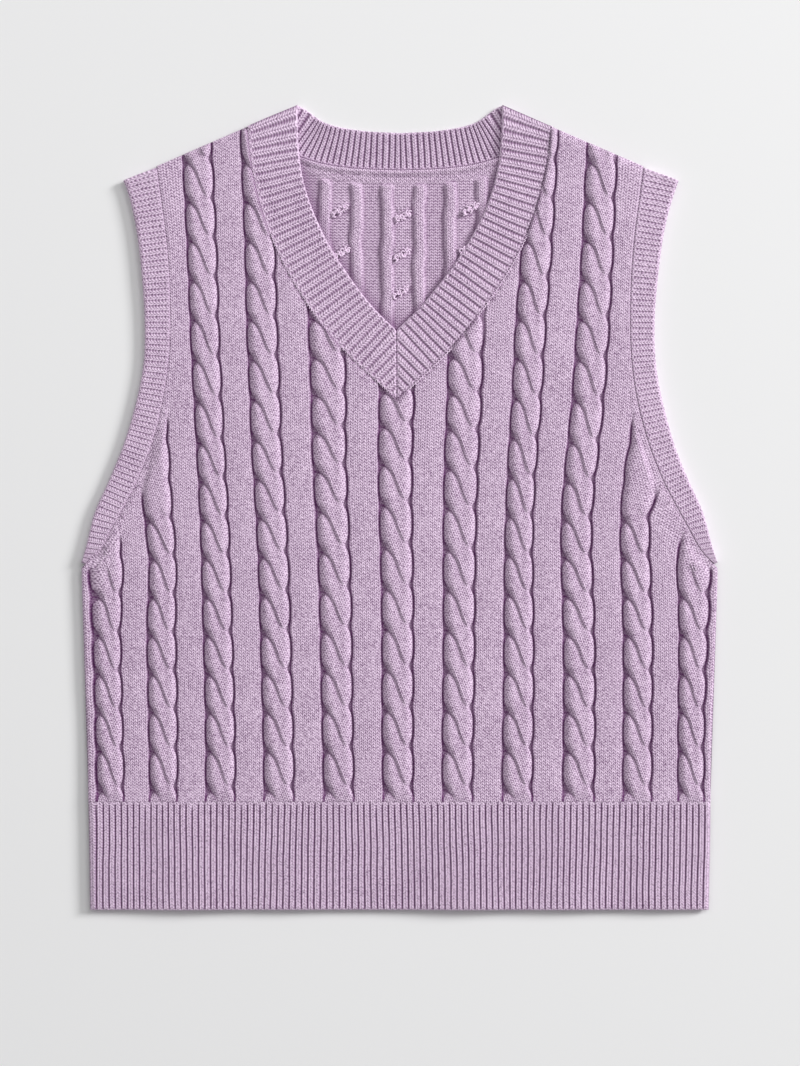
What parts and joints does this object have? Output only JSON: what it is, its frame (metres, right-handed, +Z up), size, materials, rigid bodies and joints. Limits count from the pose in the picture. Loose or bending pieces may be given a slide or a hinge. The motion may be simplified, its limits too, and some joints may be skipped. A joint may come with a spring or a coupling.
{
  "type": "knitted sweater vest",
  "caption": "Sleeveless cable-knit V-neck sweater vest laid flat, with ribbed neckband, armbands and hem, front and back panels lying on each other.",
  "frame": {"origin": "on the surface the vest lies on, under the middle of its outline", "axes": "+X across the chest towards the wearer's left as seen in the picture's right, +Y from the hem to the shoulders, +Z up out of the front"},
  "size_m": [0.4618, 0.587, 0.0085],
  "materials": {
    "cable_knit": "soft fine-gauge lilac yarn knitted in plain strips, purl gutters and crossed cables, matt with a light fuzz",
    "rib_knit": "the same lilac yarn knitted as a close rib, matt with a light fuzz"
  },
  "bodies": {
    "root": {"front_panel": "cable_knit", "back_panel": "cable_knit", "front_hem_rib": "rib_knit", "back_hem_rib": "rib_knit", "neckband_left": "rib_knit", "neckband_right": "rib_knit", "neckband_back": "rib_knit", "armband_left": "rib_knit", "armband_right": "rib_knit"}
  },
  "joints": []
}
